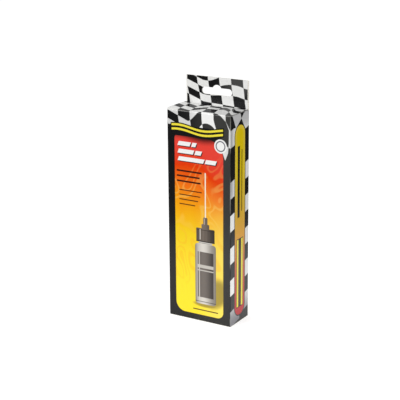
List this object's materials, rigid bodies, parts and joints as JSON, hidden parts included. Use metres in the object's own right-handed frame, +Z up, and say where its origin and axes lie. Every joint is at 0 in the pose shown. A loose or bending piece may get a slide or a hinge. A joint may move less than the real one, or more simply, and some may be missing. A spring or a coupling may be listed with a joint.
{
  "type": "boxed graphite lock lubricant tube",
  "caption": "Folding carton with a hang tab and an opening lid, holding a screw-capped needle-tip squeeze tube of dry graphite lock lubricant.",
  "frame": {"origin": "middle of the carton's footprint, on the floor it stands on", "axes": "+Z up, +Y from the front panel to the back panel, +X to the carton's right as seen from the front"},
  "size_m": [0.0502, 0.0262, 0.1717],
  "materials": {
    "printed_board": "coated white board with gloss print outside, bare white inside",
    "bare_board": "bare white board",
    "bottle_plastic": "natural translucent soft plastic",
    "label_film": "printed film",
    "graphite": "fine dark grey powder with a faint sheen",
    "washer_foam": "white closed foam",
    "cap_plastic": "dark brown moulded plastic",
    "needle_steel": "drawn stainless tube"
  },
  "bodies": {
    "carton": {"front_panel": "printed_board", "right_panel": "printed_board", "back_panel": "printed_board", "left_panel": "printed_board", "glue_flap": "bare_board", "hang_tab_fold": "printed_board", "bottom_outer_flap": "printed_board", "bottom_inner_flap": "bare_board", "bottom_left_flap": "bare_board", "bottom_right_flap": "bare_board"},
    "lid": {"top_lid": "printed_board"},
    "tuck": {"tuck_flap": "printed_board"},
    "left_dust": {"left_dust_flap": "bare_board"},
    "right_dust": {"right_dust_flap": "bare_board"},
    "tube": {"bottle": "bottle_plastic", "bottle_label": "label_film", "graphite_powder": "graphite"},
    "washer": {"sealing_washer": "washer_foam"},
    "cap": {"screw_cap": "cap_plastic", "needle_hub": "cap_plastic", "needle_tube": "needle_steel"}
  },
  "joints": [
    {"name": "tube_lift", "type": "slide", "parent": "carton", "child": "tube", "axis": [0, 0, 1], "range_m": [0, 0.09]},
    {"name": "lid_open", "type": "hinge", "parent": "carton", "child": "lid", "pos_m": [0, -0.01305, 0.15155], "axis": [1, 0, 0], "range_deg": [0, 180]},
    {"name": "tuck_fold", "type": "hinge", "parent": "lid", "child": "tuck", "pos_m": [0, 0.0109, 0.15155], "axis": [-1, 0, 0], "range_deg": [0, 81]},
    {"name": "left_dust_open", "type": "hinge", "parent": "carton", "child": "left_dust", "pos_m": [-0.02515, 0, 0.15095], "axis": [0, -1, 0], "range_deg": [0, 90]},
    {"name": "right_dust_open", "type": "hinge", "parent": "carton", "child": "right_dust", "pos_m": [0.02515, 0, 0.15095], "axis": [0, 1, 0], "range_deg": [0, 90]},
    {"name": "cap_rise", "type": "slide", "parent": "tube", "child": "washer", "axis": [0, 0, 1], "range_m": [0, 0.0045]},
    {"name": "cap_turn", "type": "hinge", "parent": "washer", "child": "cap", "pos_m": [0, 0, 0.068], "axis": [0, 0, 1], "range_deg": [0, 540]}
  ],
  "couplings": [
    {"joint": "lid_open", "follows": "tube_lift", "rad_per_m": 34.907},
    {"joint": "tuck_fold", "follows": "tube_lift", "rad_per_m": 15.708},
    {"joint": "left_dust_open", "follows": "tube_lift", "rad_per_m": 17.453},
    {"joint": "right_dust_open", "follows": "tube_lift", "rad_per_m": 17.453},
    {"joint": "cap_rise", "follows": "cap_turn", "m_per_rad": 0.00047746}
  ]
}
